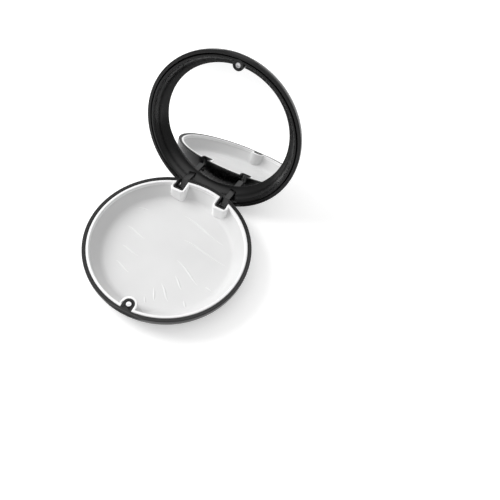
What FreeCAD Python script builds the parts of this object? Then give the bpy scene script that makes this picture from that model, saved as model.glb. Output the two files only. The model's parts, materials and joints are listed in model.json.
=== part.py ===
import FreeCAD, Part
import math
import os

os.makedirs("parts", exist_ok=True)
V = FreeCAD.Vector

# Case body, a round pebble split at the seam, millimetres
case_radius = 44.0
base_depth = 12.2       # seam down to the underside
lid_height = 11.8       # seam up to the top face
edge_round = 11.0       # full round between the flat faces and the seam
rim_wall = 1.9
floor_wall = 1.6
roof_wall = 1.6
seam_gap = 0.2
rim_edge = 0.4          # small round on the edges of both rims
rim_straight = 0.6      # least straight wall between a rim and its round

# Rubber feet in shallow pockets of the underside
foot_radius = 3.0
foot_proud = 0.9
foot_pocket = 0.6
foot_circle = 29.5      # radius of the circle the feet stand on
foot_edge = 0.3

# Lift-out tray
tray_wall = 1.6
cup_wall = 1.3          # walls round the sockets and the catch boss
tray_floor = 1.2
tray_lift = 0.8         # ribs under the tray
tray_fit = 0.1          # gap between the tray and the shell
tray_sink = 0.1         # tray rim below the seam
tray_edge = 0.55        # small round on the tray's rim
tray_upright = 1.6      # upright part of the inner wall, under the rim
tray_slope = 5.4        # the rest slopes in by this much down to the floor
tray_crease = 4.0       # round where the slope meets the floor
cup_round = 2.4         # corner round of the walls round the hinge sockets
rib_width = 1.2
rib_radii = (16.0, 28.0)

# Hinge: pins across two open sockets, goosenecked arms on the lid
hinge_inset = 5.0       # axis inside the rim
hinge_drop = 5.4        # axis below the seam
lid_open_angle = 110.0
arm_centre = 13.0       # arms left and right of the middle
arm_width = 3.4
arm_thickness = 1.6
arm_edge = 0.3
knuckle_radius = 1.6
neck_back = 3.1         # the neck steps this far into the case
neck_rise = 3.1         # over this height
pin_radius = 0.6
pin_running = 0.06      # gap round the pin in the arm
socket_gap = 0.4        # beside, before and under the arm
socket_wall = 0.9
socket_round = 0.8      # front corners
socket_edge = 0.3
pin_cover = 0.5         # socket wall left beyond the pin
swing_gap = 0.3         # rims pass each other with this gap

# Mirror in its bezel
mirror_thickness = 1.2
mirror_lap = 0.4        # mirror edge behind the bezel's lip
mirror_fit = 0.15
tape_thickness = 0.6
tape_margin = 3.7       # mirror edge beyond its adhesive sheet
bezel_fit = 0.1
bezel_back_gap = 0.2
bezel_rebate = 0.5      # open groove beside the lid's rim
bezel_rebate_depth = 0.9
bezel_land = 1.0        # flat ring level with the lid's rim
bezel_step = 0.5        # drop from the land to the ledge
bezel_ledge = 0.4
bezel_slope = 4.8       # hollowed slope from the ledge in to the mirror
bezel_bank = 0.6        # straight wall between the ledge and the hollow
bezel_lip = 0.23        # left in front of the mirror's edge
bezel_edge = 0.25
arm_window = 0.3        # gap round each arm where it goes through the bezel

# Magnetic catch and the thumb scoop
magnet_radius = 1.6
magnet_length = 2.0
magnet_sink = 0.1
boss_radius = 3.0
boss_inset = 5.1        # magnet axis inside the rim
boss_edge = 0.35
scoop_radius = 3.2
scoop_depth = 1.2

# Levels and radii that follow from the sizes above
underside = 0.0            # the frame sits on this face, the feet reach below it
seam = underside + base_depth
base_floor = underside + floor_wall
tray_under = base_floor + tray_lift
tray_top = tray_under + tray_floor
tray_rim = seam - tray_sink
lid_rim = seam + seam_gap
lid_top = seam + lid_height
roof = lid_top - roof_wall
mirror_back = roof - tape_thickness
mirror_face = mirror_back - mirror_thickness
inner_radius = case_radius - rim_wall
inner_round = edge_round - rim_wall
hinge_y = case_radius - hinge_inset
hinge_z = seam - hinge_drop
boss_y = boss_inset - case_radius
bezel_radius = inner_radius - bezel_fit
land_outer = bezel_radius - bezel_rebate
land_inner = land_outer - bezel_land
dish_radius = land_inner - bezel_ledge
mirror_view = dish_radius - bezel_slope      # the bezel leaves this radius in sight
mirror_radius = mirror_view + mirror_lap
tape_radius = mirror_radius - tape_margin
reach = 2.0 * case_radius      # longer than any cut needs


def bowl(rim_radius, rim_z, end_z, corner):
    # Solid of revolution between a rim plane and an end plane, rounded at the end
    side = 1.0 if end_z > rim_z else -1.0
    corner = min(corner, abs(end_z - rim_z) - rim_straight)
    flat = rim_radius - corner
    bend = end_z - side * corner
    slant = corner * math.sqrt(0.5)
    rim = V(rim_radius, 0, rim_z)
    start = V(rim_radius, 0, bend)
    middle = V(flat + slant, 0, bend + side * slant)
    finish = V(flat, 0, end_z)
    edges = [
        Part.LineSegment(V(0, 0, rim_z), rim).toShape(),
        Part.LineSegment(rim, start).toShape(),
        Part.Arc(start, middle, finish).toShape(),
        Part.LineSegment(finish, V(0, 0, end_z)).toShape(),
        Part.LineSegment(V(0, 0, end_z), V(0, 0, rim_z)).toShape(),
    ]
    return Part.Face(Part.Wire(edges)).revolve(V(0, 0, 0), V(0, 0, 1), 360)


def basin(rim_radius, rim_z, floor_radius, floor_z, upright, crease):
    # Solid with an upright rim and a sloping side, rounded where the side meets the floor
    corners = [
        V(0, 0, floor_z),
        V(floor_radius, 0, floor_z),
        V(rim_radius, 0, rim_z - upright),
        V(rim_radius, 0, rim_z),
        V(0, 0, rim_z),
    ]
    outline = Part.makePolygon(corners + corners[:1])
    solid = Part.Face(outline).revolve(V(0, 0, 0), V(0, 0, 1), 360)
    return round_rim(solid, floor_radius, floor_z, crease)


def round_rim(shape, rim_radius, rim_z, edge_radius):
    # Rounds the circular edge of that radius at that level
    edges = [
        edge for edge in shape.Edges
        if isinstance(edge.Curve, Part.Circle)
        and abs(edge.Curve.Radius - rim_radius) < 1e-6
        and abs(edge.Curve.Center.z - rim_z) < 1e-6
    ]
    return shape.makeFillet(edge_radius, edges)


def block(x0, x1, y0, y1, z0, z1):
    return Part.makeBox(x1 - x0, y1 - y0, z1 - z0, V(x0, y0, z0))


def post(radius, x, y, z0, z1):
    return Part.makeCylinder(radius, z1 - z0, V(x, y, z0))


def rod(radius, x0, x1, y, z):
    return Part.makeCylinder(radius, x1 - x0, V(x0, y, z), V(1, 0, 0))


def ring(radius, width, z0, z1):
    return post(radius + width, 0, 0, z0, z1).cut(post(radius, 0, 0, z0, z1))


def link(start, end, half, x0, x1):
    # Flat bar with round ends between two points of the hinge plane
    along = end.sub(start).normalize()
    across = V(0, -along.z, along.y).multiply(half)
    tail = V(along).multiply(half)
    edges = [
        Part.LineSegment(start + across, end + across).toShape(),
        Part.Arc(end + across, end + tail, end - across).toShape(),
        Part.LineSegment(end - across, start - across).toShape(),
        Part.Arc(start - across, start - tail, start + across).toShape(),
    ]
    bar = Part.Face(Part.Wire(edges)).extrude(V(x1 - x0, 0, 0))
    bar.translate(V(x0, 0, 0))
    return bar


def round_uprights(box, radius, y):
    # Rounds the upright edges of a box that stand at the given y
    edges = [
        edge for edge in box.Edges
        if abs(edge.Vertexes[0].Point.y - y) < 1e-6
        and abs(edge.Vertexes[1].Point.y - y) < 1e-6
        and abs(edge.Vertexes[0].Point.x - edge.Vertexes[1].Point.x) < 1e-6
    ]
    return box.makeFillet(radius, edges)


def round_top(solid, radius, back_y):
    # Rounds the edges of the top face, other than the one at the given y
    top = solid.BoundBox.ZMax
    edges = [
        edge for edge in solid.Edges
        if all(abs(vertex.Point.z - top) < 1e-6 for vertex in edge.Vertexes)
        and not all(abs(vertex.Point.y - back_y) < 1e-6 for vertex in edge.Vertexes)
    ]
    return solid.makeFillet(radius, edges)


def round_sides(bar, radius, x0, x1):
    # Rounds the outline of both flat sides of a bar
    edges = [
        edge for edge in bar.Edges
        if any(all(abs(vertex.Point.x - x) < 1e-6 for vertex in edge.Vertexes) for x in (x0, x1))
    ]
    return bar.makeFillet(radius, edges)


def both_sides(shape):
    return [shape, shape.mirror(V(0, 0, 0), V(1, 0, 0))]


def opened(shape):
    # Lid pieces are drawn closed and turned open about the hinge axis
    turned = shape.copy()
    turned.rotate(V(0, hinge_y, hinge_z), V(1, 0, 0), -lid_open_angle)
    return turned


# Hinge places shared by the sockets, the tray cups, the arms and the pins
arm_x0 = arm_centre - arm_width / 2
arm_x1 = arm_centre + arm_width / 2
slot_x0 = arm_x0 - socket_gap
slot_x1 = arm_x1 + socket_gap
socket_x0 = slot_x0 - socket_wall
socket_x1 = slot_x1 + socket_wall
neck_y = hinge_y - neck_back
slot_front = neck_y - arm_thickness / 2 - socket_gap
socket_front = slot_front - socket_wall
slot_floor = hinge_z - knuckle_radius - socket_gap

# The thumb scoop runs straight across the front of the round rim
scoop = rod(scoop_radius, -case_radius, case_radius, -case_radius - scoop_radius + scoop_depth, seam)

# Room in the lid for the back of the base rim, which swings past it
swing_half = math.sqrt(case_radius ** 2 - hinge_y ** 2)
swing_end = hinge_drop + swing_gap
swing_middle = math.hypot(hinge_inset, hinge_drop) + swing_gap
swing_left = V(-swing_half, hinge_y, hinge_z + swing_end)
swing_right = V(swing_half, hinge_y, hinge_z + swing_end)
swing_edges = [
    Part.Arc(swing_left, V(0, hinge_y, hinge_z + swing_middle), swing_right).toShape(),
    Part.LineSegment(swing_right, V(swing_half, hinge_y, hinge_z)).toShape(),
    Part.LineSegment(V(swing_half, hinge_y, hinge_z), V(-swing_half, hinge_y, hinge_z)).toShape(),
    Part.LineSegment(V(-swing_half, hinge_y, hinge_z), swing_left).toShape(),
]
swing_room = Part.Face(Part.Wire(swing_edges)).revolve(V(0, hinge_y, hinge_z), V(1, 0, 0), 360)

parts = {}

# Base shell with its hinge sockets, catch boss and tray ribs
base_outer = round_rim(bowl(case_radius, seam, underside, edge_round), case_radius, seam, rim_edge)
base_shell = base_outer.cut(bowl(inner_radius, seam, base_floor, inner_round))
base_shell = round_rim(base_shell, inner_radius, seam, rim_edge)
socket = block(socket_x0, socket_x1, socket_front, case_radius, base_floor - floor_wall / 2, seam)
socket = round_top(round_uprights(socket, socket_round, socket_front), socket_edge, case_radius)
boss = post(boss_radius, 0, boss_y, base_floor - floor_wall / 2, seam)
boss = boss.fuse(block(-boss_radius, boss_radius, -case_radius, boss_y, base_floor - floor_wall / 2, seam))
boss = round_top(boss.removeSplitter(), boss_edge, -case_radius)
inside = [solid.common(base_outer) for solid in both_sides(socket) + [boss]]
ribs = [ring(radius, rib_width, base_floor - floor_wall / 2, tray_under) for radius in rib_radii]
base_shell = base_shell.fuse(inside + ribs)
slot = block(slot_x0, slot_x1, slot_front, reach, slot_floor, seam + reach)
pin = rod(pin_radius, socket_x0, socket_x1 - pin_cover, hinge_y, hinge_z)
base_magnet_top = seam - magnet_sink
base_magnet_under = base_magnet_top - magnet_length
magnet_pocket = post(magnet_radius, 0, boss_y, base_magnet_under, seam + reach)
feet = {}
for front_back, turn in (("front", -1), ("back", 1)):
    for left_right, hand in (("left", -1), ("right", 1)):
        step = foot_circle * math.sqrt(0.5)
        foot = post(foot_radius, hand * step, turn * step, -foot_proud, underside + foot_pocket)
        feet["foot_" + front_back + "_" + left_right] = foot
cuts = both_sides(slot) + both_sides(pin) + [magnet_pocket, scoop] + list(feet.values())
parts["base_shell"] = base_shell.cut(cuts).removeSplitter()

# Tray, a white bowl with walls round the sockets and the boss
tray_radius = inner_radius - tray_fit
tray_round = inner_round - tray_lift
tray_outer = round_rim(bowl(tray_radius, tray_rim, tray_under, tray_round), tray_radius, tray_rim, tray_edge)
tray_hollow = tray_radius - tray_wall
tray_bed = tray_hollow - tray_slope
tray = tray_outer.cut(basin(tray_hollow, tray_rim, tray_bed, tray_top, tray_upright, tray_crease))
tray = round_rim(tray, tray_hollow, tray_rim, tray_edge)
cup_skin = tray_fit + cup_wall
cup_front = socket_front - cup_skin
cup = block(socket_x0 - cup_skin, socket_x1 + cup_skin, cup_front, case_radius, tray_under, tray_rim)
cup = round_top(round_uprights(cup, cup_round, cup_front), tray_edge, case_radius)
collar_radius = boss_radius + cup_skin
collar = post(collar_radius, 0, boss_y, tray_under, tray_rim)
collar = collar.fuse(block(-collar_radius, collar_radius, -case_radius, boss_y, tray_under, tray_rim))
collar = round_top(collar.removeSplitter(), tray_edge, -case_radius)
walls = [solid.common(tray_outer) for solid in both_sides(cup) + [collar]]
hole_front = socket_front - tray_fit
hole = block(socket_x0 - tray_fit, socket_x1 + tray_fit, hole_front, reach, underside, seam + reach)
hole = round_uprights(hole, socket_round + tray_fit, hole_front)
boss_room = boss_radius + tray_fit
boss_hole = post(boss_room, 0, boss_y, underside, seam + reach)
boss_hole = boss_hole.fuse(block(-boss_room, boss_room, -reach, boss_y, underside, seam + reach))
parts["tray"] = tray.fuse(walls).cut(both_sides(hole) + [boss_hole]).removeSplitter()

# Small parts of the base
parts["base_magnet"] = post(magnet_radius, 0, boss_y, base_magnet_under, base_magnet_top)
for name, shape in zip(("hinge_pin_right", "hinge_pin_left"), both_sides(pin)):
    parts[name] = shape
for name, foot in feet.items():
    rim = [edge for edge in foot.Edges if edge.BoundBox.ZMax < underside]
    parts[name] = foot.makeFillet(foot_edge, rim)

# Lid shell
lid_outer = round_rim(bowl(case_radius, lid_rim, lid_top, edge_round), case_radius, lid_rim, rim_edge)
lid_inner = bowl(inner_radius, lid_rim, roof, inner_round)
lid_shell = round_rim(lid_outer.cut(lid_inner), inner_radius, lid_rim, rim_edge)
parts["lid_shell"] = opened(lid_shell.cut([scoop, swing_room]))

# Gooseneck arms: down from the lid, forward of the rim, back to the pin
pivot = V(0, hinge_y, hinge_z)
bend = V(0, neck_y, hinge_z + neck_rise)
root = V(0, neck_y, lid_top)
arm = link(pivot, bend, arm_thickness / 2, arm_x0, arm_x1)
arm = arm.fuse([
    link(bend, root, arm_thickness / 2, arm_x0, arm_x1),
    rod(knuckle_radius, arm_x0, arm_x1, hinge_y, hinge_z),
])
below_roof = lid_inner.fuse(block(-reach, reach, -reach, reach, underside, lid_rim))
arm = round_sides(arm.removeSplitter(), arm_edge, arm_x0, arm_x1).common(below_roof)
arm = arm.cut(rod(pin_radius + pin_running, arm_x0, arm_x1, hinge_y, hinge_z))
for name, shape in zip(("hinge_arm_right", "hinge_arm_left"), both_sides(arm)):
    parts[name] = opened(shape)

# Bezel: a hollowed ring inside the lid with the catch boss and the arm windows
bezel_outer = bowl(bezel_radius, lid_rim, roof - bezel_back_gap, inner_round - bezel_back_gap)
hollow_start = lid_rim + bezel_step + bezel_bank
hollow_rise = mirror_face - bezel_lip - hollow_start
hollow_round = (bezel_slope ** 2 + hollow_rise ** 2) / (2 * bezel_slope)
dish = bowl(dish_radius, lid_rim, hollow_start + hollow_round, hollow_round)
step_room = post(land_inner, 0, 0, lid_rim, lid_rim + bezel_step)
rebate = ring(land_outer, bezel_rebate, lid_rim, lid_rim + bezel_rebate_depth)
lip = post(mirror_view, 0, 0, lid_rim, roof)
mirror_room = post(mirror_radius + mirror_fit, 0, 0, mirror_face, roof)
lid_boss = post(boss_radius, 0, boss_y, lid_rim, mirror_face)
lid_boss = round_rim(lid_boss, boss_radius, lid_rim, boss_edge).common(bezel_outer)
lid_magnet_face = lid_rim + magnet_sink
lid_magnet_back = lid_magnet_face + magnet_length
lid_pocket = post(magnet_radius, 0, boss_y, lid_rim - reach, lid_magnet_back)
window_half = arm_thickness / 2 + arm_window
window_x0 = arm_x0 - arm_window
window_x1 = arm_x1 + arm_window
window = block(window_x0, window_x1, neck_y - window_half, neck_y + window_half, seam, roof)
bezel = bezel_outer.cut([dish, step_room, rebate, lip, mirror_room])
bezel = round_rim(bezel, land_outer, lid_rim, bezel_edge)
bezel = round_rim(bezel, land_inner, lid_rim, bezel_edge)
bezel = round_rim(bezel, dish_radius, lid_rim + bezel_step, bezel_edge).fuse(lid_boss)
bezel = bezel.cut([lid_pocket, swing_room] + both_sides(window))
parts["mirror_bezel"] = opened(bezel.removeSplitter())

# Mirror on its adhesive sheet, and the lid's magnet
parts["mirror"] = opened(post(mirror_radius, 0, 0, mirror_face, mirror_back))
parts["mirror_tape"] = opened(post(tape_radius, 0, 0, mirror_back, roof))
parts["lid_magnet"] = opened(post(magnet_radius, 0, boss_y, lid_magnet_face, lid_magnet_back))

for name, shape in parts.items():
    print(name, shape.isValid(), len(shape.Solids), round(shape.Volume, 1))
    shape.exportStep("parts/" + name + ".step")
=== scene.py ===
import bmesh
import bpy
import json
import math
from mathutils import Matrix, Vector


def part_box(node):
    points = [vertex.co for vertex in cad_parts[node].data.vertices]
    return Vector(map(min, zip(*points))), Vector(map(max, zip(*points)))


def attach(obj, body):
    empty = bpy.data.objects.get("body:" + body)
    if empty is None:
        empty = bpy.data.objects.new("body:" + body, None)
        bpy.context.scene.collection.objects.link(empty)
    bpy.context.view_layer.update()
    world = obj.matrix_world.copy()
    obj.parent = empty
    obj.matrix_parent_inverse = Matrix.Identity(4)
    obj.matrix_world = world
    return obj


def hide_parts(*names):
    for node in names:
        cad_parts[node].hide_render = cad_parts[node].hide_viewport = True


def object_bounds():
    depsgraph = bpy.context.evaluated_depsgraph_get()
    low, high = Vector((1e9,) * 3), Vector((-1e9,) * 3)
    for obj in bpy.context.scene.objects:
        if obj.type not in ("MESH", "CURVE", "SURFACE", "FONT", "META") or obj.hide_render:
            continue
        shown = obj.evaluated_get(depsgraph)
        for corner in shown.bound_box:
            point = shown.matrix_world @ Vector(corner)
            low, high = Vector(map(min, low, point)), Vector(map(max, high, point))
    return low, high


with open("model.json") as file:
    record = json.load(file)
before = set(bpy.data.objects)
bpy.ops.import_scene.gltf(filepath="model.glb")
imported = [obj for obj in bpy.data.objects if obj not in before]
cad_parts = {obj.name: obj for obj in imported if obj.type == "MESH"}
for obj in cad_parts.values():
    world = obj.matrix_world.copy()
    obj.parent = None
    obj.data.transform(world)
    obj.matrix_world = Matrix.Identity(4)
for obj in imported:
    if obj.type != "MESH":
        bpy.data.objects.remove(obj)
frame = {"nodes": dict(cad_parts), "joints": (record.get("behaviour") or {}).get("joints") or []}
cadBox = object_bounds()
nodes = frame["nodes"]
hinge = frame["joints"][0]
lidTurn = Matrix.Rotation(-math.radians(hinge["range_deg"][1]), 4, "X")     # closed lid to open lid
hingePlace = Matrix.Translation(hinge["pos_m"])
openLid = hingePlace @ lidTurn @ hingePlace.inverted()
print("frame loaded,", len(nodes), "nodes")


# helpers for meshes and materials

def finishPiece(name, bm, material, body, smoothAngle):
    mesh = bpy.data.meshes.new(name)
    bm.to_mesh(mesh)
    bm.free()
    piece = bpy.data.objects.new(name, mesh)
    bpy.context.scene.collection.objects.link(piece)
    mesh.materials.append(material)
    mesh.shade_smooth()
    mesh.set_sharp_from_angle(angle=math.radians(smoothAngle))
    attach(piece, body)
    return piece


def newMaterial(name):
    material = bpy.data.materials.new(name)
    material.use_nodes = True
    tree = material.node_tree
    return material, tree, tree.nodes["Principled BSDF"]


def addNode(tree, kind, **values):
    node = tree.nodes.new(kind)
    for key, value in values.items():
        setattr(node, key, value)
    return node


def feed(tree, value, socket):
    # another socket is linked, a colour or a number is set
    if isinstance(value, bpy.types.NodeSocket):
        tree.links.new(value, socket)
    elif isinstance(value, tuple):
        socket.default_value = (*value, 1)
    else:
        socket.default_value = value


def addNoise(tree, vector, scale, detail, rough):
    noise = addNode(tree, "ShaderNodeTexNoise")
    for key, value in (("Vector", vector), ("Scale", scale), ("Detail", detail), ("Roughness", rough)):
        feed(tree, value, noise.inputs[key])
    return noise.outputs["Fac"]


def addMath(tree, operation, *values):
    node = addNode(tree, "ShaderNodeMath", operation=operation)
    for socket, value in zip(node.inputs, values):
        feed(tree, value, socket)
    return node.outputs["Value"]


def remap(tree, value, low, high, toLow, toHigh):
    node = addNode(tree, "ShaderNodeMapRange")
    limits = (("From Min", low), ("From Max", high), ("To Min", toLow), ("To Max", toHigh))
    for key, limit in limits:
        feed(tree, limit, node.inputs[key])
    feed(tree, value, node.inputs["Value"])
    return node.outputs["Result"]


def blend(tree, kind, mask, first, second):
    mix = addNode(tree, "ShaderNodeMix", data_type=kind)
    for key, value in (("Factor", mask), ("A", first), ("B", second)):
        feed(tree, value, mix.inputs[key])
    return mix.outputs["Result"]


def addBump(tree, shader, height, strength, distance):
    bump = addNode(tree, "ShaderNodeBump")
    for key, value in (("Strength", strength), ("Distance", distance), ("Height", height)):
        feed(tree, value, bump.inputs[key])
    tree.links.new(bump.outputs["Normal"], shader.inputs["Normal"])


# moulded skin, shared by every plastic and rubber piece: fine grain of the mould, slow drift in tone

skinNoise = {
    "grainDetail": 3, "grainRough": 0.6, "cloudDetail": 2, "cloudRough": 0.5, "cloudRange": (0.3, 0.7),
}


def buildMouldedSkin(look):
    group = bpy.data.node_groups.new("mouldedSkin", "ShaderNodeTree")
    for way, names in (("INPUT", ("Grain Scale", "Cloud Scale")), ("OUTPUT", ("Grain", "Cloud"))):
        for name in names:
            group.interface.new_socket(name, in_out=way, socket_type="NodeSocketFloat")
    given = addNode(group, "NodeGroupInput")
    put = addNode(group, "NodeGroupOutput")
    place = addNode(group, "ShaderNodeTexCoord").outputs["Object"]
    grain = addNoise(group, place, given.outputs["Grain Scale"], look["grainDetail"], look["grainRough"])
    cloud = addNoise(group, place, given.outputs["Cloud Scale"], look["cloudDetail"], look["cloudRough"])
    group.links.new(grain, put.inputs["Grain"])
    group.links.new(remap(group, cloud, *look["cloudRange"], 0, 1), put.inputs["Cloud"])
    return group


mouldedSkin = buildMouldedSkin(skinNoise)


def mouldedMaterial(name, look):
    material, tree, shader = newMaterial(name)
    skin = addNode(tree, "ShaderNodeGroup", node_tree=mouldedSkin)
    skin.inputs["Grain Scale"].default_value = look["grainScale"]
    skin.inputs["Cloud Scale"].default_value = look["cloudScale"]
    cloud = skin.outputs["Cloud"]
    tree.links.new(blend(tree, "RGBA", cloud, look["dark"], look["light"]), shader.inputs["Base Color"])
    tree.links.new(remap(tree, cloud, 0, 1, *look["roughness"]), shader.inputs["Roughness"])
    addBump(tree, shader, skin.outputs["Grain"], look["grain"], look["grainDepth"])
    shader.inputs["Specular IOR Level"].default_value = look["specular"]
    return material


satinBlack = {
    "dark": (0.003, 0.003, 0.0032), "light": (0.005, 0.005, 0.0052), "roughness": (0.24, 0.31),
    "grainScale": 5200, "cloudScale": 60, "grain": 0.04, "grainDepth": 0.00002, "specular": 0.3,
}
trayWhite = {
    "dark": (0.65, 0.65, 0.65), "light": (0.69, 0.69, 0.69), "roughness": (0.38, 0.46),
    "grainScale": 4200, "cloudScale": 45, "grain": 0.10, "grainDepth": 0.00002, "specular": 0.45,
    # the rim and cup tones are painted light, brighter than the dish's own tone
    "rimPaintedLight": (0.86, 0.86, 0.86), "rimStart": 0.0402, "rimDepth": 0.0005,
    "cupPaintedLight": (0.95, 0.95, 0.95), "cupCentre": 0.013, "cupHalf": 0.00441, "cupFront": 0.03239,
    "upright": (0.2, 0.55),
}
# the ridges are painted a lighter white than the tray: a painted highlight along the raised lines
ridgeLitWhite = {
    "dark": (0.72, 0.72, 0.72), "light": (0.76, 0.76, 0.76), "roughness": (0.28, 0.34),
    "grainScale": 4200, "cloudScale": 45, "grain": 0.05, "grainDepth": 0.00002, "specular": 0.45,
}
footRubber = {
    "dark": (0.012, 0.012, 0.012), "light": (0.02, 0.02, 0.02), "roughness": (0.72, 0.85),
    "grainScale": 3000, "cloudScale": 150, "grain": 0.35, "grainDepth": 0.00003, "specular": 0.4,
}
tapeFoam = {
    "dark": (0.55, 0.55, 0.53), "light": (0.68, 0.68, 0.66), "roughness": (0.8, 0.95),
    "grainScale": 1800, "cloudScale": 300, "grain": 0.6, "grainDepth": 0.00006, "specular": 0.3,
}


def paintTrayLightAndShade(material, look):
    # painted light and shade: the rim and the upright faces of the cups round the hinge are painted a
    # brighter white than the dish, which stays darker as painted shade
    tree = material.node_tree
    coordinates = addNode(tree, "ShaderNodeTexCoord")
    split = addNode(tree, "ShaderNodeSeparateXYZ")
    facing = addNode(tree, "ShaderNodeSeparateXYZ")
    tree.links.new(coordinates.outputs["Object"], split.inputs["Vector"])
    tree.links.new(coordinates.outputs["Normal"], facing.inputs["Vector"])
    x, y, z = (split.outputs[key] for key in "XYZ")
    square = addMath(tree, "ADD", addMath(tree, "POWER", x, 2), addMath(tree, "POWER", y, 2))
    outer = addMath(tree, "GREATER_THAN", addMath(tree, "SQRT", square), look["rimStart"])
    edge = addMath(tree, "GREATER_THAN", z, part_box("tray")[1][2] - look["rimDepth"])
    rim = addMath(tree, "MAXIMUM", outer, edge)
    offside = addMath(tree, "SUBTRACT", addMath(tree, "ABSOLUTE", x), look["cupCentre"])
    beside = addMath(tree, "LESS_THAN", addMath(tree, "ABSOLUTE", offside), look["cupHalf"])
    behind = addMath(tree, "GREATER_THAN", y, look["cupFront"])
    upright = remap(tree, addMath(tree, "ABSOLUTE", facing.outputs["Z"]), *look["upright"], 1, 0)
    cup = addMath(tree, "MULTIPLY", addMath(tree, "MULTIPLY", beside, behind), upright)
    colour = tree.nodes["Principled BSDF"].inputs["Base Color"]
    # blend in the painted light on the rim and on the cups' upright faces
    for mask, tone in ((rim, look["rimPaintedLight"]), (cup, look["cupPaintedLight"])):
        tree.links.new(blend(tree, "RGBA", mask, colour.links[0].from_socket, tone), colour)


blackPlastic = mouldedMaterial("satinBlackPlastic", satinBlack)
whitePlastic = mouldedMaterial("trayWhitePlastic", trayWhite)
# painted light on the tray's rim and cups, painted shade in the dish
paintTrayLightAndShade(whitePlastic, trayWhite)
# painted highlight: the ridges' white is lighter than the tray's
ridgeLitPlastic = mouldedMaterial("ridgeLitWhitePlastic", ridgeLitWhite)
rubber = mouldedMaterial("footRubber", footRubber)
foam = mouldedMaterial("tapeFoam", tapeFoam)
print("plastics mixed")


# mirror and metals

mirrorLook = {
    "tint": (0.95, 0.95, 0.95), "hazeTint": (0.90, 0.91, 0.91), "roughness": (0.004, 0.02),
    "hazeScale": 38, "hazeDetail": 4, "hazeRough": 0.5, "hazeRange": (0.45, 0.8),
}
magnetLook = {
    "dark": (0.42, 0.42, 0.43), "light": (0.62, 0.62, 0.63), "roughness": (0.24, 0.36), "lineScale": 2600,
}
pinLook = {
    "dark": (0.20, 0.20, 0.21), "light": (0.32, 0.32, 0.33), "roughness": (0.20, 0.34), "lineScale": 1500,
}
turning = {"axis": "X", "distortion": 1.5, "detail": 2, "bump": 0.15, "bumpDepth": 0.00001}


def mirrorMaterial(look):
    material, tree, shader = newMaterial("silveredMirror")
    place = addNode(tree, "ShaderNodeTexCoord").outputs["Object"]
    noise = addNoise(tree, place, look["hazeScale"], look["hazeDetail"], look["hazeRough"])
    haze = remap(tree, noise, *look["hazeRange"], 0, 1)
    tree.links.new(blend(tree, "RGBA", haze, look["tint"], look["hazeTint"]), shader.inputs["Base Color"])
    tree.links.new(remap(tree, haze, 0, 1, *look["roughness"]), shader.inputs["Roughness"])
    shader.inputs["Metallic"].default_value = 1.0
    return material


def turnedMetal(name, look, cut):
    material, tree, shader = newMaterial(name)
    wave = addNode(tree, "ShaderNodeTexWave", wave_type="BANDS", bands_direction=cut["axis"])
    wave.inputs["Scale"].default_value = look["lineScale"]
    wave.inputs["Distortion"].default_value = cut["distortion"]
    wave.inputs["Detail"].default_value = cut["detail"]
    tree.links.new(addNode(tree, "ShaderNodeTexCoord").outputs["Object"], wave.inputs["Vector"])
    lines = wave.outputs["Fac"]
    tree.links.new(blend(tree, "RGBA", lines, look["dark"], look["light"]), shader.inputs["Base Color"])
    tree.links.new(remap(tree, lines, 0, 1, *look["roughness"]), shader.inputs["Roughness"])
    addBump(tree, shader, lines, cut["bump"], cut["bumpDepth"])
    shader.inputs["Metallic"].default_value = 1.0
    return material


silvered = mirrorMaterial(mirrorLook)
plated = turnedMetal("platedMagnet", magnetLook, turning)
steel = turnedMetal("turnedSteel", pinLook, turning)
print("mirror and metals mixed")


# moulded pieces: merged copies of the frame's meshes with true rims and soft, even shading

moulded = {
    "mergeWithin": 1e-6, "smoothAngle": 32, "evenWeight": 60,
    "near": 0.000004, "agree": 0.4, "chord": (0.0005, 0.003), "chordCuts": 2,
    # rounded rims of the closed case: radius and level of the middle line, size, side and facing
    "rims": {
        "base_shell": ((0.0436, 0.0118, 0.0004, 1, 1), (0.0425, 0.0118, 0.0004, -1, 1)),
        "tray": ((0.04145, 0.01155, 0.00055, 1, 1), (0.04095, 0.01155, 0.00055, -1, 1)),
        "lid_shell": ((0.0436, 0.0128, 0.0004, 1, -1), (0.0425, 0.0128, 0.0004, -1, -1)),
        "mirror_bezel": (
            (0.04125, 0.01265, 0.00025, 1, -1), (0.04075, 0.01265, 0.00025, -1, -1),
            (0.04035, 0.01315, 0.00025, -1, -1),
        ),
    },
    "pieces": {     # piece: node, finish, body, slot
        "baseShellSkin": ("base_shell", blackPlastic, "base", "black_plastic"),
        "traySkin": ("tray", whitePlastic, "base", "white_plastic"),
        "lidShellSkin": ("lid_shell", blackPlastic, "lid", "black_plastic"),
        "bezelSkin": ("mirror_bezel", blackPlastic, "lid", "black_plastic"),
        "armSkinLeft": ("hinge_arm_left", blackPlastic, "lid", "black_plastic"),
        "armSkinRight": ("hinge_arm_right", blackPlastic, "lid", "black_plastic"),
        "footPadFrontLeft": ("foot_front_left", rubber, "base", "rubber_foot"),
        "footPadFrontRight": ("foot_front_right", rubber, "base", "rubber_foot"),
        "footPadBackLeft": ("foot_back_left", rubber, "base", "rubber_foot"),
        "footPadBackRight": ("foot_back_right", rubber, "base", "rubber_foot"),
    },
}


def rimNormal(point, look, rims):
    # the true normal at a point on one of the rims, nothing elsewhere
    radius = point.xy.length
    for ring, level, size, side, facing in rims:
        across = radius - ring
        along = point.z - level
        inside = min(across * side, along * facing) > -look["near"]
        if inside and abs(math.hypot(across, along) - size) < look["near"]:
            return Vector((point.x / radius * across, point.y / radius * across, along)).normalized()
    return None


def rimPoints(bm, look, rim):
    return {vert for vert in bm.verts if rimNormal(vert.co, look, [rim])}


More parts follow.
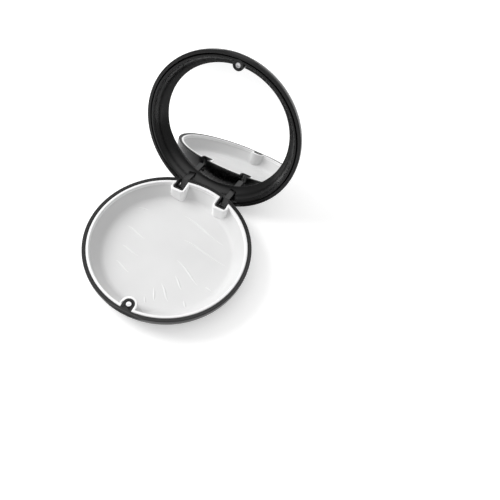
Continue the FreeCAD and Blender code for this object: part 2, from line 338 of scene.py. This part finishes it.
def cutChords(bm, look, rim, reach):
    # the long chords on a rim are cut and the new points put on its round
    ring, level, size = rim[:3]
    shortest, longest = look["chord"]
    found = rimPoints(bm, look, rim)
    chords = [
        edge for edge in bm.edges
        if found.issuperset(edge.verts) and shortest < edge.calc_length() < longest
    ]
    made = bmesh.ops.subdivide_edges(bm, edges=chords, cuts=look["chordCuts"])["geom_inner"]
    for vert in made:
        if isinstance(vert, bmesh.types.BMVert):
            across = vert[reach] - ring
            along = vert.co.z - level
            grow = size / math.hypot(across, along)
            vert[reach] = ring + across * grow
            vert.co.xy *= vert[reach] / vert.co.xy.length
            vert.co.z = level + along * grow


def turnEdges(bm, look, rim):
    # the edges inside a rim are turned the way that bends least
    found = rimPoints(bm, look, rim)
    faces = [face for face in bm.faces if found.issuperset(face.verts)]
    inner = set(faces)
    edges = [edge for edge in bm.edges if len(edge.link_faces) == 2 and inner.issuperset(edge.link_faces)]
    bmesh.ops.beautify_fill(bm, faces=faces, edges=edges, method="ANGLE")


def cutRims(bm, look, rims):
    # the frame's mesh crosses its rims with long slivers
    reach = bm.verts.layers.float.new("reach")
    for vert in bm.verts:
        vert[reach] = vert.co.xy.length
    for rim in rims:
        cutChords(bm, look, rim, reach)
    bm.verts.layers.float.remove(reach)
    bmesh.ops.triangulate(bm, faces=bm.faces[:], quad_method="BEAUTY", ngon_method="BEAUTY")
    for rim in rims:
        turnEdges(bm, look, rim)


def smoothRims(piece, look, rims, stand):
    # the rims take their true normals, the rest keeps its even shading
    evaluated = piece.evaluated_get(bpy.context.evaluated_depsgraph_get())
    normals = [corner.vector.copy() for corner in evaluated.to_mesh().corner_normals]
    evaluated.to_mesh_clear()
    mesh = piece.data
    lay = stand.inverted()
    turn = stand.to_3x3()
    truth = {}
    for vert in mesh.vertices:
        normal = rimNormal(lay @ vert.co, look, rims)
        if normal:
            truth[vert.index] = turn @ normal
    for face in mesh.polygons:
        for corner in face.loop_indices:
            normal = truth.get(mesh.loops[corner].vertex_index)
            if normal and normal.dot(face.normal) > look["agree"]:
                normals[corner] = normal
    piece.modifiers.clear()
    mesh.normals_split_custom_set(normals)


def buildMoulded(name, look, node, finish, body, slot):
    bm = bmesh.new()
    bm.from_mesh(nodes[node].data)
    bmesh.ops.remove_doubles(bm, verts=bm.verts[:], dist=look["mergeWithin"])
    rims = look["rims"].get(node)
    stand = openLid if body == "lid" else Matrix.Identity(4)
    if rims:
        bmesh.ops.transform(bm, matrix=stand.inverted(), verts=bm.verts[:])
        cutRims(bm, look, rims)
        bmesh.ops.transform(bm, matrix=stand, verts=bm.verts[:])
    piece = finishPiece(name, bm, finish, body, look["smoothAngle"])
    even = piece.modifiers.new("evenShading", "WEIGHTED_NORMAL")
    even.keep_sharp = True
    even.weight = look["evenWeight"]
    if rims:
        smoothRims(piece, look, rims, stand)
    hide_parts(node)


for name, recipe in moulded["pieces"].items():
    buildMoulded(name, moulded, *recipe)
print("moulded pieces smoothed:", len(moulded["pieces"]))


# finishes of the pieces that stay as the frame has them

nodeFinish = {"mirror": silvered, "mirror_tape": foam, "hinge_pin_left": steel, "hinge_pin_right": steel}
for name, finish in nodeFinish.items():
    nodes[name].data.materials.clear()
    nodes[name].data.materials.append(finish)
print("finishes given to", len(nodeFinish), "nodes")


# fine raised lines on the tray floor

ridges = {
    "width": 0.0011, "height": 0.00024, "sunk": 0.00004, "step": 0.0005, "sectionPoints": 8,
    "ending": 0.4, "wave": 14, "thinEnd": 0.3, "floorReach": 0.0331, "smoothAngle": 35, "perMetre": 1000,
    "lines": [      # x, y in mm, heading and bend in degrees, length in mm
        (-4.0, 24.8, -3, -3, 29), (3.7, 11.0, 1, 0, 27), (6.1, -1.9, -10, -14, 19),
        (10.0, -10.5, -28, -6, 9), (6.0, -17.8, -31, -7, 11), (3.6, -21.6, -50, 4, 8),
        (2.0, -28.4, -42, 0, 4), (-27.8, 4.1, 2, -12, 13), (-23.5, -7.6, 1, -3, 11),
        (-21.5, -17.0, -8, -4, 10), (-28.6, 17.2, 22, 0, 6), (20.5, -21.0, -36, 0, 5),
        (27.0, -9.0, 3, 0, 5),
    ],
}


def trayFloor(look):
    # level of the flat floor, inside the round that leads up to the wall
    verts = nodes["tray"].data.vertices
    return max(vert.co.z for vert in verts if math.hypot(vert.co.x, vert.co.y) < look["floorReach"])


def extrudeRows(bm, look, steps):
    # half-round section at the origin, extruded in place into one row of points for each step
    half = look["width"] / 2
    section = []
    for i in range(look["sectionPoints"] + 1):
        angle = math.pi * i / look["sectionPoints"]
        section.append(bm.verts.new((0, half * math.cos(angle), math.sin(angle))))
    edges = [bm.edges.new(pair) for pair in zip(section, section[1:])]
    edges.append(bm.edges.new((section[-1], section[0])))
    rows = [section]
    for i in range(steps):
        made = bmesh.ops.extrude_edge_only(bm, edges=edges)["geom"]
        rows.append([item for item in made if isinstance(item, bmesh.types.BMVert)])
        edges = [
            item for item in made
            if isinstance(item, bmesh.types.BMEdge) and all(vert in rows[-1] for vert in item.verts)
        ]
    return rows


def sweepRidge(bm, look, line, floor):
    x, y, heading, bend, length = line
    steps = round(length / look["perMetre"] / look["step"])
    rows = extrudeRows(bm, look, steps)
    centre = Vector((x / look["perMetre"], y / look["perMetre"], floor - look["sunk"]))
    for i, verts in enumerate(rows):
        part = i / steps
        swell = math.sin(math.pi * part)
        turn = math.radians(heading + bend * part - look["wave"] * swell)
        fade = min(1.0, swell / math.sin(math.pi * look["ending"]))     # both ends sink into the floor
        wide = look["thinEnd"] + (1 - look["thinEnd"]) * fade
        bmesh.ops.scale(bm, verts=verts, vec=(1, wide, fade * look["height"] + look["sunk"]))
        bmesh.ops.rotate(bm, verts=verts, cent=(0, 0, 0), matrix=Matrix.Rotation(turn, 3, "Z"))
        bmesh.ops.translate(bm, verts=verts, vec=centre)
        centre += look["step"] * Vector((math.cos(turn), math.sin(turn), 0))
    for verts in (rows[0], rows[-1]):
        bmesh.ops.contextual_create(bm, geom=verts)


def buildRidges(look):
    bm = bmesh.new()
    floor = trayFloor(look)
    for line in look["lines"]:
        sweepRidge(bm, look, line, floor)
    bmesh.ops.recalc_face_normals(bm, faces=bm.faces[:])
    # the ridges take the lighter white, a painted highlight
    finishPiece("trayRidges", bm, ridgeLitPlastic, "base", look["smoothAngle"])


buildRidges(ridges)
print("tray ridges swept:", len(ridges["lines"]))


# plated magnets, one in each catch boss

magnets = {
    "radius": 0.0016, "length": 0.002, "chamfer": 0.0003, "dimple": 0.0004, "dimpleDepth": 0.00015,
    "sides": 48, "mergeWithin": 1e-7, "smoothAngle": 35,
}


def buildMagnet(name, look, node, body, turn):
    half = look["length"] / 2
    profile = [
        (0, -half), (look["radius"], -half), (look["radius"], half - look["chamfer"]),
        (look["radius"] - look["chamfer"], half), (look["dimple"], half), (0, half - look["dimpleDepth"]),
    ]
    bm = bmesh.new()
    points = [bm.verts.new((x, 0, z)) for x, z in profile]
    edges = [bm.edges.new(pair) for pair in zip(points, points[1:])]
    bmesh.ops.spin(
        bm, geom=points + edges, cent=(0, 0, 0), axis=(0, 0, 1), angle=2 * math.pi,
        steps=look["sides"], use_merge=True,
    )
    bmesh.ops.remove_doubles(bm, verts=bm.verts[:], dist=look["mergeWithin"])
    bmesh.ops.recalc_face_normals(bm, faces=bm.faces[:])
    low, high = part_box(node)
    place = (Vector(low) + Vector(high)) / 2
    bmesh.ops.transform(bm, matrix=Matrix.Translation(place) @ turn, verts=bm.verts[:])
    piece = finishPiece(name, bm, plated, body, look["smoothAngle"])
    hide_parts(node)


buildMagnet("baseMagnetDisc", magnets, "base_magnet", "base", Matrix.Identity(4))
buildMagnet("lidMagnetDisc", magnets, "lid_magnet", "lid", lidTurn @ Matrix.Rotation(math.pi, 4, "X"))
print("magnets spun")


# floor, light and camera

studio = {
    "floorSize": 4.0, "floorGlow": 0.37, "horizon": 0.18, "zenith": 0.92, "backdrop": 0.86,
    "softbox": (0.6, 0.9), "glossLow": 0.45, "glossHigh": 2.3,
}
floorLook = {
    "dark": (0.90, 0.90, 0.90), "light": (0.93, 0.93, 0.93), "roughness": (0.7, 0.8),
    "grainScale": 300, "cloudScale": 3, "grain": 0.02, "grainDepth": 0.0001, "specular": 0.2,
}
keyLight = {"place": (-0.38, 0.0, 0.27), "aim": (0, 0.01, 0.01), "size": 0.35, "watts": 2.0}
cameraView = {
    "azimuth": 15.70, "elevation": 59.06, "roll": 11.37, "lens": 43.23, "sensor": 36.0,
    "place": (0.0834, -0.1392, 0.2841), "nearest": 0.01,
}


def buildFloor(look, finish):
    bm = bmesh.new()
    bmesh.ops.create_grid(bm, x_segments=1, y_segments=1, size=look["floorSize"] / 2)
    bmesh.ops.translate(bm, verts=bm.verts[:], vec=(0, 0, cadBox[0].z))
    mesh = bpy.data.meshes.new("floor")
    bm.to_mesh(mesh)
    bm.free()
    material = mouldedMaterial("paleFloor", finish)
    shader = material.node_tree.nodes["Principled BSDF"]
    # lit from under, like a light table
    shader.inputs["Emission Color"].default_value = (1, 1, 1, 1)
    shader.inputs["Emission Strength"].default_value = look["floorGlow"]
    mesh.materials.append(material)
    floor = bpy.data.objects.new("floor", mesh)
    bpy.context.scene.collection.objects.link(floor)


def buildWorld(look):
    # a room that is brighter overhead, with a softbox that only the gloss shows and a plain pale backdrop
    world = bpy.data.worlds.new("studioWorld")
    bpy.context.scene.world = world
    world.use_nodes = True
    tree = world.node_tree
    split = addNode(tree, "ShaderNodeSeparateXYZ")
    tree.links.new(addNode(tree, "ShaderNodeTexCoord").outputs["Generated"], split.inputs["Vector"])
    path = addNode(tree, "ShaderNodeLightPath")
    glow = remap(tree, split.outputs["Z"], 0, 1, look["horizon"], look["zenith"])
    gloss = remap(tree, split.outputs["Z"], *look["softbox"], look["glossLow"], look["glossHigh"])
    room = blend(tree, "FLOAT", path.outputs["Is Glossy Ray"], glow, gloss)
    seen = blend(tree, "FLOAT", path.outputs["Is Camera Ray"], room, look["backdrop"])
    background = tree.nodes["Background"]
    background.inputs["Color"].default_value = (1, 1, 1, 1)
    tree.links.new(seen, background.inputs["Strength"])


def buildKeyLight(look):
    lamp = bpy.data.lights.new("keyLight", "AREA")
    lamp.shape = "DISK"
    lamp.size = look["size"]
    lamp.energy = look["watts"]
    holder = bpy.data.objects.new("keyLight", lamp)
    holder.visible_glossy = False     # the gloss shows only the room
    holder.location = look["place"]
    away = Vector(look["place"]) - Vector(look["aim"])
    holder.rotation_euler = away.to_track_quat("Z", "Y").to_euler()
    bpy.context.scene.collection.objects.link(holder)


def buildCamera(look):
    azimuth, elevation, roll = (math.radians(look[key]) for key in ("azimuth", "elevation", "roll"))
    level = Vector((math.cos(azimuth), math.sin(azimuth), 0))
    flat = math.cos(elevation)
    back = Vector((math.sin(azimuth) * flat, -math.cos(azimuth) * flat, math.sin(elevation)))
    right = math.cos(roll) * level + math.sin(roll) * back.cross(level)
    up = back.cross(right)
    camera = bpy.data.objects.new("camera", bpy.data.cameras.new("camera"))
    camera.data.lens = look["lens"]
    camera.data.sensor_width = look["sensor"]
    camera.data.clip_start = look["nearest"]
    camera.matrix_world = Matrix.Translation(look["place"]) @ Matrix((right, up, back)).transposed().to_4x4()
    bpy.context.scene.collection.objects.link(camera)
    bpy.context.scene.camera = camera


buildFloor(studio, floorLook)
buildWorld(studio)
buildKeyLight(keyLight)
buildCamera(cameraView)
bpy.context.scene.view_settings.view_transform = "Standard"
print("studio set")
